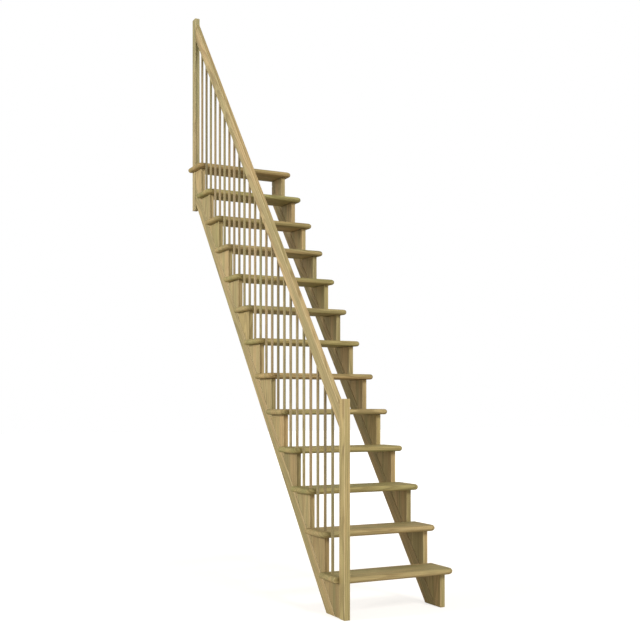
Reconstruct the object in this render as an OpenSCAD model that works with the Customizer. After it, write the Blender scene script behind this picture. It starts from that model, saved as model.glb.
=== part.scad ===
// Space-saving staircase: a steep straight flight with open risers, two cut
// stringers built up from a back plank and step blocks, and a handrail on round
// balusters between two newels on the left side.
// Millimetres. X runs across the treads, Y in the climbing direction, Z up.
// The origin is on the landing plane, at the centre of the top tread's back edge.

/* [Flight] */
// Number of treads, the top one level with the landing
tread_count = 13; // [5:1:14]
// Height from one tread to the next
rise = 215; // [160:1:260]
// Horizontal distance from one nosing to the next
going = 173; // [140:1:260]

/* [Treads] */
// Width of a tread across the flight
tread_w = 720; // [560:5:1000]
// Thickness of a tread
tread_t = 32; // [24:1:45]
// Projection of a tread in front of the stringers' step faces
nosing = 45; // [20:1:70]
// Projection of a tread beyond the outer face of each stringer
overhang = 36; // [10:1:60]
// Radius of a tread's front corners, seen from above
corner_r = 40; // [5:1:60]

/* [Stringers] */
// Thickness of both stringers
stringer_t = 30; // [22:1:50]
// Width of the back plank, square to the slope
plank_w = 77; // [50:1:120]
// Wood between the inner corner of a step and the back plank, square to the slope
web = 22; // [10:1:60]

/* [Newels] */
// Thickness of a newel, flush with the left stringer inside and proud of it outside
newel_t = 34; // [24:1:60]
// Depth of a newel, along the flight
newel_d = 58; // [40:1:90]
// Height of the bottom newel above the floor
newel_bottom_h = 1132; // [900:1:1400]
// Height of the top newel above the landing
newel_above = 1062; // [850:1:1300]
// Length of the top newel below the landing
newel_below = 305; // [100:1:500]

/* [Handrail] */
// Height of the handrail's top above the line of the nosings
rail_h = 820; // [700:1:1000]
// Width of the handrail, square to the slope
rail_w = 75; // [40:1:110]
// Thickness of the handrail
rail_t = 28; // [20:1:50]
// Diameter of a baluster
baluster_d = 16; // [10:1:30]

/* [Clearances] */
// Gap round a newel in a tread's notch
notch_gap = 0.5; // [0.2:0.1:3]
// Gap between neighbouring step blocks
block_gap = 0.5; // [0.2:0.1:2]

/* [Hidden] */
$fn = 48;
slope = rise / going;
pitch = atan(slope);
tread_d = going + nosing;
outer_x = tread_w / 2 - overhang;
inner_x = outer_x - stringer_t;
landing_y = tread_count * going + nosing;
landing_z = tread_count * rise;
// Where the joint between blocks and plank, and the plank's back, meet the floor
joint_y = nosing + tread_t / slope + web / sin(pitch);
back_y = joint_y + plank_w / sin(pitch);
// Vertical height of the sloping handrail
rail_rise = rail_w / cos(pitch);
// The two balusters on a tread stand a quarter of the going either side of its middle
baluster_first = tread_d / 2 - going / 4;
baluster_second = tread_d / 2 + going / 4;
// The first place on the bottom tread and the last on the top one belong to the newels
baluster_count = 2 * tread_count - 2;
// More than any piece's size, for cutting tools that reach right through
reach = landing_z + rail_h;
pine = [0.72, 0.63, 0.44];
pine_dark = [0.64, 0.54, 0.36];

function two(k) = k < 10 ? str("0", k) : str(k);
function tread_name(k) = str("tread_", two(k));
function baluster_name(i) = str("baluster_", two(i));
// Height of the joint line, the plank's back and the rail's underside at a place along the flight
function joint_z(y) = (y - joint_y) * slope;
function back_z(y) = (y - back_y) * slope;
function rail_under(y) = rise + y * slope + rail_h - rail_rise;
// Baluster i stands on tread baluster_tread(i), counting from the bottom
function baluster_tread(i) = floor(i / 2) + 1;
function baluster_y(i) =
    (baluster_tread(i) - 1) * going + (i % 2 == 0 ? baluster_first : baluster_second);

// From the floor's frame, with the first nosing at y = 0, to the part's frame
module placed() {
    translate([0, -landing_y, tread_t / 2 - landing_z]) children();
}

// A flat piece of the side view: an outline in (y, z), with its thickness from x up to x + t
module side_piece(x, t) {
    translate([x, 0, 0])
        rotate([90, 0, 90])
            linear_extrude(t) children();
}

// side is -1 for the left stringer and 1 for the right one
function stringer_x(side) = side < 0 ? -outer_x : inner_x;
// The left stringer stops at the front face of the top newel
function stringer_end(side) = side < 0 ? landing_y - newel_d : landing_y;

// Side view of a tread, with a half-round nosing at y = 0 and its top at z = 0
module tread_profile() {
    nose_r = tread_t / 2;
    translate([nose_r, -nose_r]) circle(nose_r);
    translate([nose_r, -tread_t]) square([tread_d - nose_r, tread_t]);
}

// Plan of a tread, with its front corners rounded
module tread_plan() {
    translate([-tread_w / 2 + corner_r, 0]) square([tread_w - 2 * corner_r, tread_d]);
    translate([-tread_w / 2, corner_r]) square([tread_w, tread_d - corner_r]);
    for (side = [-1, 1])
        translate([side * (tread_w / 2 - corner_r), corner_r]) circle(corner_r);
}

module tread_board() {
    intersection() {
        side_piece(-tread_w / 2, tread_w) tread_profile();
        translate([0, 0, -tread_t]) linear_extrude(tread_t) tread_plan();
    }
}

// The bottom tread's front left corner is cut away for the bottom newel
module bottom_notch() {
    translate([-tread_w, -reach, -tread_t - 1])
        cube([tread_w - inner_x + notch_gap, reach + nosing + notch_gap, tread_t + 2]);
}

// The top tread has a notch in its back edge for the top newel
module top_notch() {
    translate([-inner_x - newel_t - notch_gap, tread_d - newel_d - notch_gap, -tread_t - 1])
        cube([newel_t + 2 * notch_gap, newel_d + notch_gap + 1, tread_t + 2]);
}

module tread(k) {
    color(pine)
        placed()
            translate([0, (k - 1) * going, k * rise])
                difference() {
                    tread_board();
                    if (k == 1) bottom_notch();
                    if (k == tread_count) top_notch();
                }
}

// The straight plank along a stringer's back, cut level at the floor and upright at the top
module stringer_plank(side) {
    end = stringer_end(side);
    color(pine_dark)
        placed()
            side_piece(stringer_x(side), stringer_t)
                polygon([[joint_y, 0], [back_y, 0], [end, back_z(end)], [end, joint_z(end)]]);
}

// One step block, glued to the front of the plank, with tread k on its level top
module step_block(side, k) {
    front = (k - 1) * going + nosing;
    back = k < tread_count ? front + going - block_gap : stringer_end(side);
    seat = k * rise - tread_t;
    foot = k == 1 ? [[joint_y, 0], [front, 0]] : [[front, joint_z(front)]];
    side_piece(stringer_x(side), stringer_t)
        polygon(concat(foot, [[front, seat], [back, seat], [back, joint_z(back)]]));
}

module step_blocks(side) {
    color(pine)
        placed()
            for (k = [1 : tread_count]) step_block(side, k);
}

// A newel in line with the left stringer, its front face at y
module newel(y, z, height) {
    color(pine)
        placed()
            translate([-inner_x - newel_t, y, z]) cube([newel_t, newel_d, height]);
}

module newel_bottom() {
    newel(nosing - newel_d, 0, newel_bottom_h);
}

module newel_top() {
    newel(landing_y - newel_d, landing_z - newel_below, newel_above + newel_below);
}

// The handrail runs from the bottom newel's back face to the top newel's front face
module handrail() {
    low = nosing;
    high = landing_y - newel_d;
    color(pine_dark)
        placed()
            side_piece(-(outer_x + inner_x) / 2 - rail_t / 2, rail_t)
                polygon([
                    [low, rail_under(low)],
                    [high, rail_under(high)],
                    [high, rail_under(high) + rail_rise],
                    [low, rail_under(low) + rail_rise]
                ]);
}

// Everything above the handrail's sloping underside
module above_rail() {
    translate([0, 0, rail_under(0)])
        rotate([pitch, 0, 0])
            translate([-reach, -reach, 0]) cube([2 * reach, 3 * reach, reach]);
}

// Baluster i stands on its tread, and its top is cut to the handrail's underside
module baluster(i) {
    top = rail_under(baluster_y(i) + baluster_d);
    foot = baluster_tread(i) * rise;
    color(pine)
        placed()
            difference() {
                translate([-(outer_x + inner_x) / 2, baluster_y(i), foot])
                    cylinder(h = top - foot, d = baluster_d);
                above_rail();
            }
}

for (k = [1 : tread_count])
    tread(k);
stringer_plank(-1);  // stringer_plank_left
stringer_plank(1);  // stringer_plank_right
step_blocks(-1);  // step_blocks_left
step_blocks(1);  // step_blocks_right
newel_bottom();
newel_top();
handrail();
for (i = [1 : baluster_count])
    baluster(i);
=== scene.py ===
import math
import bpy
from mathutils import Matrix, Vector


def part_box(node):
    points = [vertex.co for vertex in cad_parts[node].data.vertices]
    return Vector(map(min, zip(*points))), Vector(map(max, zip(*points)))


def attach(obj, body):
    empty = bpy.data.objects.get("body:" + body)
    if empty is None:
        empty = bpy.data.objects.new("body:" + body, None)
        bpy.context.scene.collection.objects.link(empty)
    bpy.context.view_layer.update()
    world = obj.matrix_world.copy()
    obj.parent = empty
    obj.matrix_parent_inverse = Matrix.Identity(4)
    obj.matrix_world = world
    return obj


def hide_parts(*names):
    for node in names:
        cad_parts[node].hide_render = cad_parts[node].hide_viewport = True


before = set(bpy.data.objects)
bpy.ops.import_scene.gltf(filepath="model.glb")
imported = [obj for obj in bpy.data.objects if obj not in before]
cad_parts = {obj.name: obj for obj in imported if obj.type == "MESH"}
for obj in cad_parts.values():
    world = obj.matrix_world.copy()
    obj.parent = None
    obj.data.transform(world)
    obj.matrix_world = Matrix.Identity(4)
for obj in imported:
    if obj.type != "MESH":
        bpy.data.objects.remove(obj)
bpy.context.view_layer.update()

flight = {
    "treads": 13,
    "balusters": 24,
}


def treadNode(k):
    return f"tread_{k:02d}"


def balusterNode(i):
    return f"baluster_{i:02d}"


def lowestSpan(node):
    # y range of a node's lowest level, where it stands on the floor
    points = [v.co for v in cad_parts[node].data.vertices]
    floor = min(p.z for p in points)
    along = [p.y for p in points if p.z < floor + 0.0005]
    return min(along), max(along)


secondLow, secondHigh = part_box(treadNode(2))
thirdLow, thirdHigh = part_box(treadNode(3))
going = thirdLow[1] - secondLow[1]
rise = thirdLow[2] - secondLow[2]
slope = rise / going
pitch = math.atan(slope)
alongSlope = Vector((0, math.cos(pitch), math.sin(pitch)))
upFromSlope = Vector((0, -math.sin(pitch), math.cos(pitch)))
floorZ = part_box("newel_bottom")[0][2]
across = Vector((1, 0, 0))
climbing = Vector((0, 1, 0))
upright = Vector((0, 0, 1))
print("frame read: rise %.3f going %.3f pitch %.1f" % (rise, going, math.degrees(pitch)))


def deselectAll():
    if bpy.context.object and bpy.context.object.mode != "OBJECT":
        bpy.ops.object.mode_set(mode="OBJECT")
    bpy.ops.object.select_all(action="DESELECT")


def makeActive(piece):
    deselectAll()
    piece.select_set(True)
    bpy.context.view_layer.objects.active = piece


def addBoard(name, low, high):
    # a cube primitive, sized and placed in its mesh
    deselectAll()
    middle = [(a + b) / 2 for a, b in zip(low, high)]
    size = [b - a for a, b in zip(low, high)]
    bpy.ops.mesh.primitive_cube_add(size=1, location=middle, scale=size)
    piece = bpy.context.object
    piece.name = name
    piece.data.name = name
    bpy.ops.object.transform_apply(location=True, rotation=True, scale=True)
    return piece


def pickEdges(piece, test):
    # selects the edges whose two ends pass the test, and stays in edit mode
    makeActive(piece)
    bpy.ops.object.mode_set(mode="EDIT")
    bpy.ops.mesh.select_mode(type="EDGE")
    bpy.ops.mesh.select_all(action="DESELECT")
    bpy.ops.object.mode_set(mode="OBJECT")
    points = piece.data.vertices
    for edge in piece.data.edges:
        a, b = (points[i].co for i in edge.vertices)
        edge.select = test(a, b)
    bpy.ops.object.mode_set(mode="EDIT")


def cutAway(piece, point, outwards):
    # bisects the piece and removes what lies outwards of the plane
    makeActive(piece)
    bpy.ops.object.mode_set(mode="EDIT")
    bpy.ops.mesh.select_all(action="SELECT")
    bpy.ops.mesh.bisect(plane_co=point, plane_no=outwards, use_fill=True, clear_outer=True)
    bpy.ops.object.mode_set(mode="OBJECT")


def notchOut(piece, low, high):
    # cuts a square notch with a boolean
    cutter = addBoard("notchCutter", low, high)
    makeActive(piece)
    cut = piece.modifiers.new("notch", "BOOLEAN")
    cut.object = cutter
    cut.operation = "DIFFERENCE"
    cut.solver = "EXACT"
    bpy.ops.object.modifier_apply(modifier=cut.name)
    bpy.data.objects.remove(cutter)


def easeEdges(piece, width, segments=3, angle=50):
    # rounds the sharp edges and keeps the flats flat
    makeActive(piece)
    bpy.ops.object.shade_smooth()
    ease = piece.modifiers.new("ease", "BEVEL")
    ease.width = width
    ease.segments = segments
    ease.limit_method = "ANGLE"
    ease.angle_limit = math.radians(angle)
    ease.harden_normals = True
    bpy.ops.object.modifier_apply(modifier=ease.name)


def markArrises(piece, widest, inJointShade=None):
    # faces narrower than widest are the eased arrises: 1 where rubbed light and given a painted highlight, -1 where
    # they meet another board and get painted shade
    mesh = piece.data
    points = mesh.vertices
    values = []
    for face in mesh.polygons:
        corners = [points[i].co for i in face.vertices]
        sides = [(a - b).length for a, b in zip(corners, corners[1:] + corners[:1])]
        narrow = min(face.area / max(sides), max(sides)) < widest
        values.append(0.0 if not narrow else -1.0 if inJointShade and inJointShade(face.center) else 1.0)
    arris = mesh.attributes.new("arris", "FLOAT", "FACE")
    arris.data.foreach_set("value", values)


def layGrain(piece, middle, along, wide, board, tone=(1, 1, 1)):
    # each point's place in its own board: along the grain, across the wide face, through it
    through = along.cross(wide)
    mesh = piece.data
    place = mesh.attributes.new("grainPlace", "FLOAT_VECTOR", "POINT")
    values = []
    for vertex in mesh.vertices:
        offset = vertex.co - middle
        values += [offset.dot(along), offset.dot(wide), offset.dot(through)]
    place.data.foreach_set("vector", values)
    number = mesh.attributes.new("board", "FLOAT", "POINT")
    number.data.foreach_set("value", [board] * len(mesh.vertices))
    stain = mesh.attributes.new("boardTone", "FLOAT_VECTOR", "POINT")
    stain.data.foreach_set("vector", list(tone) * len(mesh.vertices))


def joinPieces(name, parts):
    deselectAll()
    for part in parts:
        part.select_set(True)
    bpy.context.view_layer.objects.active = parts[0]
    bpy.ops.object.join()
    parts[0].name = name
    parts[0].data.name = name
    return parts[0]


def finishPiece(piece, material, slotName, *nodes):
    piece.data.materials.clear()
    piece.data.materials.append(material)
    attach(piece, "root")
    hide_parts(*nodes)


def link(tree, source, target):
    tree.links.new(source, target)


def addNode(tree, kind, **settings):
    node = tree.nodes.new(kind)
    for key, value in settings.items():
        setattr(node, key, value)
    return node


def mathNode(tree, operation, *values, clamp=False):
    # each value is a number or another node's socket
    node = addNode(tree, "ShaderNodeMath", operation=operation, use_clamp=clamp)
    for place, value in enumerate(values):
        if isinstance(value, (int, float)):
            node.inputs[place].default_value = value
        else:
            link(tree, value, node.inputs[place])
    return node.outputs[0]


def combine(tree, x, y, z):
    node = addNode(tree, "ShaderNodeCombineXYZ")
    for place, value in enumerate((x, y, z)):
        if isinstance(value, (int, float)):
            node.inputs[place].default_value = value
        else:
            link(tree, value, node.inputs[place])
    return node.outputs[0]


def noise(tree, vector, scale, detail=2.0, roughness=0.5, dimensions="3D"):
    node = addNode(tree, "ShaderNodeTexNoise", noise_dimensions=dimensions)
    node.inputs["Scale"].default_value = scale
    node.inputs["Detail"].default_value = detail
    node.inputs["Roughness"].default_value = roughness
    link(tree, vector, node.inputs["W" if dimensions == "1D" else "Vector"])
    return node.outputs[0]


def mixColour(tree, factor, first, second, blend="MIX"):
    node = addNode(tree, "ShaderNodeMix", data_type="RGBA", blend_type=blend)
    for socket, value in ((node.inputs[0], factor), (node.inputs[6], first), (node.inputs[7], second)):
        if isinstance(value, (int, float)):
            socket.default_value = value
        elif isinstance(value, (tuple, list)):
            socket.default_value = (*value, 1.0)
        else:
            link(tree, value, socket)
    return node.outputs[2]


def rangeNode(tree, value, fromLow, fromHigh, toLow, toHigh, smooth=False):
    node = addNode(tree, "ShaderNodeMapRange", interpolation_type="SMOOTHSTEP" if smooth else "LINEAR")
    link(tree, value, node.inputs[0])
    for place, number in enumerate((fromLow, fromHigh, toLow, toHigh), start=1):
        if isinstance(number, (int, float)):
            node.inputs[place].default_value = number
        else:
            link(tree, number, node.inputs[place])
    return node.outputs[0]


def newGroup(name, inputs, outputs):
    tree = bpy.data.node_groups.new(name, "ShaderNodeTree")
    for socketName, kind, value in inputs:
        socket = tree.interface.new_socket(socketName, in_out="INPUT", socket_type=kind)
        if value is not None:
            socket.default_value = value
    for socketName, kind in outputs:
        tree.interface.new_socket(socketName, in_out="OUTPUT", socket_type=kind)
    return tree, tree.nodes.new("NodeGroupInput"), tree.nodes.new("NodeGroupOutput")


def buildPineGrain():
    # growth rings of a board cut beside the pith, with fibres and glued staves
    tree, given, result = newGroup(
        "pineGrain",
        [
            ("Vector", "NodeSocketVector", None),
            ("Board", "NodeSocketFloat", 0.0),
            ("Board Tone", "NodeSocketColor", (1, 1, 1, 1)),
            ("Early Wood", "NodeSocketColor", (0.55, 0.43, 0.22, 1)),
            ("Late Wood", "NodeSocketColor", (0.33, 0.22, 0.09, 1)),
            ("Ring Gap", "NodeSocketFloat", 0.009),
            ("Ring Strength", "NodeSocketFloat", 0.6),
            ("Stave Width", "NodeSocketFloat", 10.0),
            ("Fibre Strength", "NodeSocketFloat", 0.3),
        ],
        [
            ("Color", "NodeSocketColor"),
            ("Late", "NodeSocketFloat"),
            ("Height", "NodeSocketFloat"),
        ],
    )
    split = addNode(tree, "ShaderNodeSeparateXYZ")
    link(tree, given.outputs["Vector"], split.inputs[0])
    along, wide, through = split.outputs
    # staves glued edge to edge, each cut from a different place in the log
    staveCount = mathNode(tree, "DIVIDE", wide, given.outputs["Stave Width"])
    stave = mathNode(tree, "FLOOR", mathNode(tree, "ADD", staveCount, 0.5))
    seed = mathNode(tree, "ADD", given.outputs["Board"], mathNode(tree, "MULTIPLY", stave, 0.377))
    chance = addNode(tree, "ShaderNodeTexWhiteNoise", noise_dimensions="1D")
    link(tree, seed, chance.inputs["W"])
    drawn = addNode(tree, "ShaderNodeSeparateColor")
    link(tree, chance.outputs["Color"], drawn.inputs[0])
    first, second, third = drawn.outputs
    # slow warp of the log along the grain
    shifted = mathNode(tree, "ADD", along, mathNode(tree, "MULTIPLY", seed, 7.3))
    slow = combine(tree, mathNode(tree, "MULTIPLY", shifted, 1.6), mathNode(tree, "MULTIPLY", wide, 5.0),
                   mathNode(tree, "MULTIPLY", through, 5.0))
    warp = mathNode(tree, "MULTIPLY", mathNode(tree, "SUBTRACT", noise(tree, slow, 1.0, 2.0), 0.5), 0.06)
    # the pith runs beside the board and leans a little, which draws the pointed arches
    pithWide = mathNode(tree, "MULTIPLY", mathNode(tree, "SUBTRACT", first, 0.5), 0.12)
    lean = mathNode(tree, "MULTIPLY", mathNode(tree, "SUBTRACT", second, 0.5), 0.16)
    pithDepth = mathNode(tree, "ADD", mathNode(tree, "MULTIPLY", third, 0.05), 0.035)
    acrossPith = mathNode(tree, "SUBTRACT", wide, pithWide)
    depth = mathNode(tree, "ADD", mathNode(tree, "ADD", through, pithDepth), mathNode(tree, "MULTIPLY", along, lean))
    squared = mathNode(tree, "ADD", mathNode(tree, "MULTIPLY", acrossPith, acrossPith),
                       mathNode(tree, "MULTIPLY", depth, depth))
    radius = mathNode(tree, "ADD", mathNode(tree, "SQRT", squared), warp)
    unevenness = noise(tree, mathNode(tree, "MULTIPLY", radius, 60.0), 1.0, 1.0, dimensions="1D")
    phase = mathNode(tree, "ADD", mathNode(tree, "DIVIDE", radius, given.outputs["Ring Gap"]),
                     mathNode(tree, "MULTIPLY", unevenness, 1.2))
    ring = mathNode(tree, "FRACT", phase)
    rising = rangeNode(tree, ring, 0.25, 0.85, 0.0, 1.0, smooth=True)
    falling = rangeNode(tree, ring, 0.86, 1.0, 1.0, 0.0, smooth=True)
    late = mathNode(tree, "MULTIPLY", rising, falling)
    # fine fibres and slow drifts of tone
    fine = combine(tree, mathNode(tree, "MULTIPLY", shifted, 7.0), mathNode(tree, "MULTIPLY", wide, 330.0),
                   mathNode(tree, "MULTIPLY", through, 330.0))
    fibre = noise(tree, fine, 1.0, 3.0, 0.65)
    broad = combine(tree, mathNode(tree, "MULTIPLY", shifted, 1.3), mathNode(tree, "MULTIPLY", wide, 16.0),
                    mathNode(tree, "MULTIPLY", through, 16.0))
    drift = noise(tree, broad, 1.0, 2.0)
    # colour
    lateShare = mathNode(tree, "MULTIPLY", late, given.outputs["Ring Strength"])
    wood = mixColour(tree, lateShare, given.outputs["Early Wood"], given.outputs["Late Wood"])
    olive = mixColour(tree, 1.0, wood, (0.84, 0.87, 0.80), "MULTIPLY")
    ruddy = mixColour(tree, 1.0, wood, (1.10, 1.01, 0.97), "MULTIPLY")
    tinted = mixColour(tree, rangeNode(tree, drift, 0.36, 0.64, 0.0, 1.0, smooth=True), olive, ruddy)
    fibreShade = rangeNode(tree, fibre, 0.3, 0.7, 0.68, 1.18)
    streaky = mixColour(tree, given.outputs["Fibre Strength"], tinted,
                        mixColour(tree, 1.0, tinted, combine(tree, fibreShade, fibreShade, fibreShade), "MULTIPLY"))
    # each stave and board has a tone of its own
    toneShade = rangeNode(tree, first, 0.0, 1.0, 0.90, 1.08)
    toned = mixColour(tree, 1.0, streaky, combine(tree, toneShade, toneShade, toneShade), "MULTIPLY")
    toned = mixColour(tree, 1.0, toned, given.outputs["Board Tone"], "MULTIPLY")
    # the glue line between staves
    edge = mathNode(tree, "ABSOLUTE", mathNode(tree, "SUBTRACT", mathNode(tree, "FRACT",
                    mathNode(tree, "ADD", staveCount, 0.5)), 0.5))
    fromGlue = mathNode(tree, "MULTIPLY", mathNode(tree, "SUBTRACT", 0.5, edge), given.outputs["Stave Width"])
    glue = rangeNode(tree, fromGlue, 0.0, 0.0009, 0.55, 0.0)
    glued = mixColour(tree, glue, toned, (0.16, 0.10, 0.04))
    link(tree, glued, result.inputs["Color"])
    link(tree, late, result.inputs["Late"])
    height = mathNode(tree, "ADD", mathNode(tree, "MULTIPLY", fibre, 0.6), mathNode(tree, "MULTIPLY", late, 0.4))
    link(tree, mathNode(tree, "SUBTRACT", height, mathNode(tree, "MULTIPLY", glue, 0.8)), result.inputs["Height"])
    return tree


pineGrain = buildPineGrain()


def buildEdgeWearSheenShade():
    # arrises rub lighter, unevenly, along every board, with a painted highlight on them, and painted shade darkens
    # those in a joint
    tree, given, result = newGroup(
        "edgeWearSheenShade",
        [
            ("Color", "NodeSocketColor", (0.5, 0.4, 0.2, 1)),
            ("Vector", "NodeSocketVector", None),
            ("Arris", "NodeSocketFloat", 0.0),
            ("Worn Sheen Color", "NodeSocketColor", (0.7, 0.58, 0.34, 1)),
            ("Joint Shade Color", "NodeSocketColor", (0.06, 0.04, 0.02, 1)),
            ("Amount", "NodeSocketFloat", 0.5),
        ],
        [
            ("Color", "NodeSocketColor"),
            ("Mask", "NodeSocketFloat"),
        ],
    )
    patches = rangeNode(tree, noise(tree, given.outputs["Vector"], 14.0, 3.0), 0.3, 0.62, 0.35, 1.0, smooth=True)
    mask = mathNode(tree, "MULTIPLY", mathNode(tree, "MULTIPLY", given.outputs["Arris"], patches),
                    given.outputs["Amount"], clamp=True)
    # the lighter colour on the arrises is rubbed wear and a painted highlight
    wornSheen = mixColour(tree, mask, given.outputs["Color"], given.outputs["Worn Sheen Color"])
    # arrises in a joint get a painted shade, nearly black
    inJointShade = mathNode(tree, "MULTIPLY", given.outputs["Arris"], -0.95, clamp=True)
    link(tree, mixColour(tree, inJointShade, wornSheen, given.outputs["Joint Shade Color"]), result.inputs["Color"])
    link(tree, mask, result.inputs["Mask"])
    return tree


edgeWearSheenShade = buildEdgeWearSheenShade()


def makePine(name, look):
    material = bpy.data.materials.new(name)
    material.use_nodes = True
    tree = material.node_tree
    shader = tree.nodes["Principled BSDF"]
    place = addNode(tree, "ShaderNodeAttribute", attribute_name="grainPlace")
    board = addNode(tree, "ShaderNodeAttribute", attribute_name="board")
    tone = addNode(tree, "ShaderNodeAttribute", attribute_name="boardTone")
    grain = addNode(tree, "ShaderNodeGroup", node_tree=pineGrain)
    link(tree, tone.outputs["Vector"], grain.inputs["Board Tone"])
    link(tree, place.outputs["Vector"], grain.inputs["Vector"])
    link(tree, board.outputs["Fac"], grain.inputs["Board"])
    grain.inputs["Early Wood"].default_value = (*look["early"], 1)
    grain.inputs["Late Wood"].default_value = (*look["late"], 1)
    grain.inputs["Ring Gap"].default_value = look["ringGap"]
    grain.inputs["Ring Strength"].default_value = look["ringStrength"]
    grain.inputs["Stave Width"].default_value = look["staveWidth"]
    grain.inputs["Fibre Strength"].default_value = look["fibreStrength"]
    arris = addNode(tree, "ShaderNodeAttribute", attribute_name="arris")
    wearAndSheen = addNode(tree, "ShaderNodeGroup", node_tree=edgeWearSheenShade)
    link(tree, grain.outputs["Color"], wearAndSheen.inputs["Color"])
    link(tree, place.outputs["Vector"], wearAndSheen.inputs["Vector"])
    link(tree, arris.outputs["Fac"], wearAndSheen.inputs["Arris"])
    # the worn colour and its amount give rubbed wear and a painted highlight on the arrises
    wearAndSheen.inputs["Worn Sheen Color"].default_value = (*look["wornSheen"], 1)
    wearAndSheen.inputs["Amount"].default_value = look["wearAndSheen"]
    link(tree, wearAndSheen.outputs["Color"], shader.inputs["Base Color"])
    rough = rangeNode(tree, grain.outputs["Late"], 0.0, 1.0, look["roughness"] + 0.08, look["roughness"])
    link(tree, mathNode(tree, "SUBTRACT", rough, mathNode(tree, "MULTIPLY", wearAndSheen.outputs["Mask"], 0.10)),
         shader.inputs["Roughness"])
    bump = addNode(tree, "ShaderNodeBump")
    bump.inputs["Strength"].default_value = look["bump"]
    bump.inputs["Distance"].default_value = 0.0006
    link(tree, grain.outputs["Height"], bump.inputs["Height"])
    link(tree, bump.outputs["Normal"], shader.inputs["Normal"])
    shader.inputs["Coat Weight"].default_value = look["lacquer"]
    shader.inputs["Coat Roughness"].default_value = 0.35
    shader.inputs["Specular IOR Level"].default_value = look["gloss"]
    return material


# in each look, the worn colour and its amount set the lighter arrises: rubbed wear with a painted highlight
pineLooks = {
    "treads": {"early": (0.45, 0.375, 0.185), "late": (0.22, 0.165, 0.070), "ringGap": 0.012,
               "ringStrength": 0.6, "staveWidth": 0.075, "fibreStrength": 0.8, "roughness": 0.64,
               "bump": 0.25, "lacquer": 0.01,
                "wornSheen": (0.60, 0.49, 0.27), "wearAndSheen": 0.6, "gloss": 0.12},
    "stringer_planks": {"early": (0.49, 0.40, 0.20), "late": (0.25, 0.185, 0.080), "ringGap": 0.011,
                        "ringStrength": 0.7, "staveWidth": 10.0, "fibreStrength": 0.8, "roughness": 0.56,
                        "bump": 0.25, "lacquer": 0.03,
                "wornSheen": (0.60, 0.49, 0.27), "wearAndSheen": 0.8, "gloss": 0.25},
    "step_blocks": {"early": (0.48, 0.39, 0.195), "late": (0.25, 0.185, 0.078), "ringGap": 0.013,
                    "ringStrength": 0.6, "staveWidth": 10.0, "fibreStrength": 0.8, "roughness": 0.56,
                    "bump": 0.25, "lacquer": 0.03,
                "wornSheen": (0.60, 0.49, 0.27), "wearAndSheen": 0.6, "gloss": 0.25},
    "newels": {"early": (0.58, 0.465, 0.222), "late": (0.28, 0.20, 0.085), "ringGap": 0.010,
               "ringStrength": 0.7, "staveWidth": 10.0, "fibreStrength": 0.8, "roughness": 0.54,
               "bump": 0.25, "lacquer": 0.04,
                "wornSheen": (0.60, 0.49, 0.27), "wearAndSheen": 0.9, "gloss": 0.25},
    "handrail": {"early": (0.52, 0.42, 0.215), "late": (0.28, 0.20, 0.085), "ringGap": 0.010,
                 "ringStrength": 0.65, "staveWidth": 10.0, "fibreStrength": 0.8, "roughness": 0.52,
                 "bump": 0.25, "lacquer": 0.05,
                "wornSheen": (0.60, 0.49, 0.27), "wearAndSheen": 0.6, "gloss": 0.25},
    "balusters": {"early": (0.40, 0.335, 0.19), "late": (0.22, 0.155, 0.075), "ringGap": 0.006,
                  "ringStrength": 0.6, "staveWidth": 10.0, "fibreStrength": 0.8, "roughness": 0.54,
                  "bump": 0.2, "lacquer": 0.04,
                "wornSheen": (0.60, 0.49, 0.27), "wearAndSheen": 0.6, "gloss": 0.25},
}
pine = {slotName: makePine("pine_" + slotName, look) for slotName, look in pineLooks.items()}
print("materials made:", len(pine))
boardTones = {                                # heartwood, sapwood and plain boards, and boards set darker, lighter or cooler than the rest
    "olive": (0.95, 1.00, 0.91),
    "ruddy": (1.03, 0.98, 0.95),
    "plain": (1.0, 1.0, 1.0),
    "dark": (0.80, 0.79, 0.76),
    "deep": (0.68, 0.68, 0.65),
    "coolDark": (0.82, 0.88, 0.94),
    "light": (1.14, 1.13, 1.10),
}

treadLook = {
    "cornerRadius": 0.040,
    "cornerSegments": 10,
    "noseSegments": 7,
    "edgeEase": 0.0015,
    "notchGap": 0.0005,
    "tones": ("plain", "plain", "olive", "olive", "plain", "ruddy", "olive", "plain", "olive", "plain", "ruddy",
              "olive", "ruddy"),
}


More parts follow.
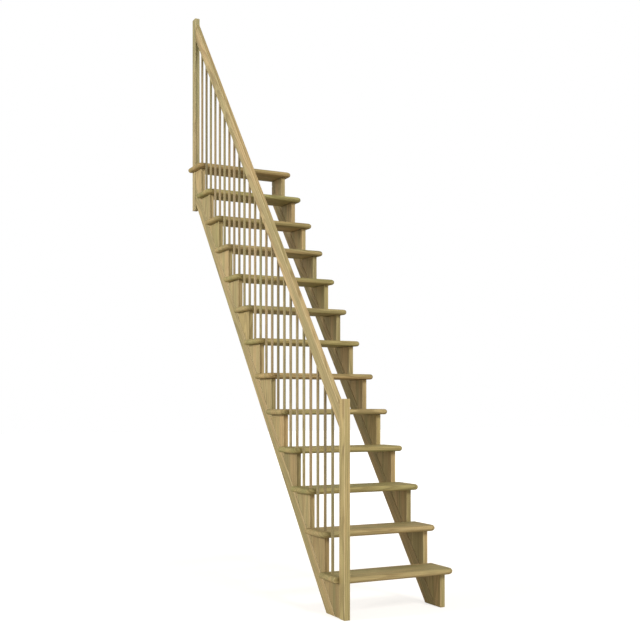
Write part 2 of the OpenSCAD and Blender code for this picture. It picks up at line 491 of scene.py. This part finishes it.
def makeTread(k):
    low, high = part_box(treadNode(k))
    thick = high[2] - low[2]
    piece = addBoard(f"tread_board_{k:02d}", low, high)

    def frontCorner(a, b):
        return abs(a.z - b.z) > thick / 2 and a.y < low[1] + 0.001

    def frontAndEnds(a, b):
        level = abs(a.z - b.z) < 0.0001
        atBack = a.y > high[1] - 0.0001 and b.y > high[1] - 0.0001
        return level and not atBack

    pickEdges(piece, frontCorner)
    bpy.ops.mesh.bevel(offset=treadLook["cornerRadius"], segments=treadLook["cornerSegments"])
    bpy.ops.object.mode_set(mode="OBJECT")
    pickEdges(piece, frontAndEnds)
    bpy.ops.mesh.bevel(offset=thick * 0.497, segments=treadLook["noseSegments"])
    bpy.ops.object.mode_set(mode="OBJECT")
    gap = treadLook["notchGap"]
    if k == 1:
        newelLow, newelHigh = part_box("newel_bottom")
        notchOut(piece, (low[0] - 0.1, low[1] - 0.1, low[2] - 0.01),
                 (newelHigh[0] + gap, newelHigh[1] + gap, high[2] + 0.01))
    if k == flight["treads"]:
        newelLow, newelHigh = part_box("newel_top")
        notchOut(piece, (newelLow[0] - gap, newelLow[1] - gap, low[2] - 0.01),
                 (newelHigh[0] + gap, high[1] + 0.1, high[2] + 0.01))
    easeEdges(piece, treadLook["edgeEase"], segments=2)
    markArrises(piece, treadLook["edgeEase"])
    layGrain(piece, Vector([(a + b) / 2 for a, b in zip(low, high)]), across, climbing, 1.7 * k,
             boardTones[treadLook["tones"][(k - 1) % len(treadLook["tones"])]])
    finishPiece(piece, pine["treads"], "treads", treadNode(k))


for k in range(1, flight["treads"] + 1):
    makeTread(k)
print("treads made")

stringerLook = {
    "edgeEase": 0.0028,
    "jointGroove": 0.005,                     # chamfer along the glue joint
    "blockGap": 0.0005,
    "leftTones": (
        "deep", "dark", "plain", "dark", "ruddy", "plain", "plain",
        "olive", "plain", "plain", "olive", "plain", "plain",
    ),
    "rightTones": (
        "light", "plain", "plain", "plain", "olive", "plain", "plain",
        "plain", "olive", "plain", "light", "plain", "plain",
    ),
}


def makePlank(side):
    node = "stringer_plank_" + side
    low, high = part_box(node)
    joint, back = lowestSpan(node)
    piece = addBoard("plank_" + side, low, high)
    cutAway(piece, (0, joint, low[2]), upFromSlope)
    cutAway(piece, (0, back, low[2]), -upFromSlope)
    easeEdges(piece, stringerLook["edgeEase"], segments=2, angle=30)
    markArrises(piece, stringerLook["edgeEase"])
    middle = Vector(((low[0] + high[0]) / 2, (joint + back) / 2, low[2]))
    layGrain(piece, middle, alongSlope, upFromSlope, 31.3 if side == "left" else 37.9)
    finishPiece(piece, pine["stringer_planks"], "stringer_planks", node)


def makeBlocks(side):
    node = "step_blocks_" + side
    low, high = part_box(node)
    joint = lowestSpan("stringer_plank_" + side)[0]
    parts = []
    for k in range(1, flight["treads"] + 1):
        front = low[1] + (k - 1) * going
        back = front + going - stringerLook["blockGap"] if k < flight["treads"] else high[1]
        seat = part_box(treadNode(k))[0][2]
        foot = max(low[2], low[2] + (front - joint) * slope)
        part = addBoard("block", (low[0], front, foot), (high[0], back, seat))
        cutAway(part, (0, joint, low[2]), -upFromSlope)
        slant = Vector((0, joint, low[2]))

        def onJoint(a, b):
            return max(abs((p - slant).dot(upFromSlope)) for p in (a, b)) < 0.0005 and abs(a.x - b.x) < 0.0005

        pickEdges(part, onJoint)
        bpy.ops.mesh.bevel(offset=stringerLook["jointGroove"], segments=1)
        bpy.ops.object.mode_set(mode="OBJECT")
        easeEdges(part, stringerLook["edgeEase"], segments=2, angle=30)
        # arrises on the glue joint, along the top under the tread, and at the front of the first left block beside
        # the newel get painted shade
        markArrises(part, stringerLook["jointGroove"] * 1.6,
                    lambda spot: abs((spot - slant).dot(upFromSlope)) < stringerLook["jointGroove"] * 1.2
                    or spot.z > seat - stringerLook["edgeEase"] * 1.5
                    or (k == 1 and side == "left" and spot.y < front + stringerLook["edgeEase"] * 1.5))
        middle = Vector(((low[0] + high[0]) / 2, (front + back) / 2, seat))
        layGrain(part, middle, upright, climbing, (57 if side == "left" else 90) + 1.3 * k,
                 boardTones[stringerLook[side + "Tones"][(k - 1) % len(stringerLook[side + "Tones"])]])
        parts.append(part)
    finishPiece(joinPieces("blocks_" + side, parts), pine["step_blocks"], "step_blocks", node)


for side in ("left", "right"):
    makePlank(side)
    makeBlocks(side)
print("stringers made")

newelLook = {
    "edgeEase": 0.0025,
}
railLook = {
    "edgeEase": 0.003,
}


def makeNewel(which, board, tone):
    node = "newel_" + which
    low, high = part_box(node)
    piece = addBoard(which + "_newel", low, high)
    easeEdges(piece, newelLook["edgeEase"], segments=4)
    markArrises(piece, newelLook["edgeEase"])
    layGrain(piece, Vector([(a + b) / 2 for a, b in zip(low, high)]), upright, climbing, board, boardTones[tone])
    finishPiece(piece, pine["newels"], "newels", node)


def makeRail():
    low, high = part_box("handrail")
    length = high[1] - low[1]
    depth = high[2] - low[2] - length * slope
    piece = addBoard("rail_plank", low, high)
    cutAway(piece, (0, low[1], low[2]), -upFromSlope)
    cutAway(piece, (0, low[1], low[2] + depth), upFromSlope)
    easeEdges(piece, railLook["edgeEase"], segments=4, angle=30)
    markArrises(piece, railLook["edgeEase"])
    layGrain(piece, Vector(((low[0] + high[0]) / 2, low[1], low[2] + depth / 2)), alongSlope, upFromSlope, 21.4)
    finishPiece(piece, pine["handrail"], "handrail", "handrail")


makeNewel("bottom", 11.1, "plain")
# the top newel is set darker and cooler than the other boards
makeNewel("top", 13.8, "coolDark")
makeRail()
print("newels and handrail made")

balusterLook = {
    "sides": 24,
    "tones": ("plain", "olive", "dark", "plain", "ruddy", "olive", "plain"),
}


def makeBaluster(i):
    low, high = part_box(balusterNode(i))
    diameter = high[0] - low[0]
    deselectAll()
    bpy.ops.mesh.primitive_cylinder_add(
        vertices=balusterLook["sides"], radius=diameter / 2, depth=high[2] - low[2],
        location=[(a + b) / 2 for a, b in zip(low, high)])
    piece = bpy.context.object
    piece.name = f"spindle_{i:02d}"
    piece.data.name = piece.name
    bpy.ops.object.transform_apply(location=True, rotation=True, scale=True)
    # the rail's underside passes through the rod's highest point, at its far side
    cutAway(piece, (0, high[1], high[2]), upFromSlope)
    makeActive(piece)
    bpy.ops.object.shade_smooth_by_angle(angle=math.radians(40))
    layGrain(piece, Vector([(a + b) / 2 for a, b in zip(low, high)]), upright, climbing, 120 + 2.3 * i,
             boardTones[balusterLook["tones"][i % len(balusterLook["tones"])]])
    finishPiece(piece, pine["balusters"], "balusters", balusterNode(i))


for i in range(1, flight["balusters"] + 1):
    makeBaluster(i)
print("balusters made")

stageLook = {
    "floorSize": 60.0,
    "floorColour": (0.50, 0.47, 0.43),
    "glowNear": 0.70,                         # under the stair, where its shadow shows
    "glowFar": 1.0,
    "glowStart": 1.2,
    "glowReach": 4.5,
    "skyColour": (1.0, 0.94, 0.84),
    "skyLevel": 1.00,                         # light from the walls around
    "skyOverhead": 0.12,                      # light from straight above
}


def makeStage():
    deselectAll()
    bpy.ops.mesh.primitive_plane_add(size=stageLook["floorSize"], location=(0, 0, floorZ - 0.0005))
    floor = bpy.context.object
    floor.name = "floor"
    bpy.ops.object.transform_apply(location=True, rotation=True, scale=True)
    material = bpy.data.materials.new("paleFloor")
    material.use_nodes = True
    tree = material.node_tree
    shader = tree.nodes["Principled BSDF"]
    shader.inputs["Base Color"].default_value = (*stageLook["floorColour"], 1)
    shader.inputs["Roughness"].default_value = 0.9
    shader.inputs["Emission Color"].default_value = (1, 1, 1, 1)
    path = addNode(tree, "ShaderNodeLightPath")
    place = addNode(tree, "ShaderNodeTexCoord")
    distance = addNode(tree, "ShaderNodeVectorMath", operation="DISTANCE")
    link(tree, place.outputs["Object"], distance.inputs[0])
    distance.inputs[1].default_value = (0, -1.4, floorZ)
    glow = rangeNode(tree, distance.outputs["Value"], stageLook["glowStart"], stageLook["glowReach"],
                     stageLook["glowNear"], stageLook["glowFar"], smooth=True)
    link(tree, mathNode(tree, "MULTIPLY", path.outputs["Is Camera Ray"], glow), shader.inputs["Emission Strength"])
    floor.data.materials.append(material)


def makeWorld():
    world = bpy.data.worlds.new("studio")
    bpy.context.scene.world = world
    world.use_nodes = True
    tree = world.node_tree
    shader = tree.nodes["Background"]
    path = addNode(tree, "ShaderNodeLightPath")
    seen = path.outputs["Is Camera Ray"]
    place = addNode(tree, "ShaderNodeTexCoord")
    split = addNode(tree, "ShaderNodeSeparateXYZ")
    link(tree, place.outputs["Generated"], split.inputs[0])
    level = rangeNode(tree, mathNode(tree, "ABSOLUTE", split.outputs[2]), 0.1, 0.9,
                      stageLook["skyLevel"], stageLook["skyOverhead"])
    link(tree, mixColour(tree, seen, stageLook["skyColour"], (1, 1, 1)), shader.inputs["Color"])
    link(tree, rangeNode(tree, seen, 0.0, 1.0, level, 1.0), shader.inputs["Strength"])


def addSoftLight(name, place, target, size, power):
    data = bpy.data.lights.new(name, "AREA")
    data.shape = "SQUARE"
    data.size = size
    data.energy = power
    lamp = bpy.data.objects.new(name, data)
    lamp.location = place
    lamp.rotation_euler = (Vector(target) - Vector(place)).to_track_quat("-Z", "Y").to_euler()
    bpy.context.collection.objects.link(lamp)


cameraLook = {
    "place": (-2.6955, -6.7197, 1.1048),      # x and y in the stair's frame, z above the floor
    "turn": -26.794,                          # degrees from the climbing direction
    "lens": 55.335,
    "rise": 0.1314,
}


def makeCamera():
    data = bpy.data.cameras.new("camera")
    data.sensor_width = 36
    data.lens = cameraLook["lens"]
    data.shift_y = cameraLook["rise"]
    data.clip_end = 200
    camera = bpy.data.objects.new("camera", data)
    x, y, z = cameraLook["place"]
    camera.location = (x, y, z + floorZ)
    camera.rotation_euler = (math.radians(90), 0, math.radians(cameraLook["turn"]))
    bpy.context.collection.objects.link(camera)
    bpy.context.scene.camera = camera


makeStage()
makeWorld()
middle = (0, -1.2, floorZ + 1.8)
addSoftLight("sideKey", (-8.0, -1.0, floorZ + 3.8), middle, 2.4, 400)
addSoftLight("frontKey", (1.6, -11.0, floorZ + 7.2), middle, 3.0, 740)
makeCamera()
bpy.context.scene.view_settings.view_transform = "Standard"
print("stage made")
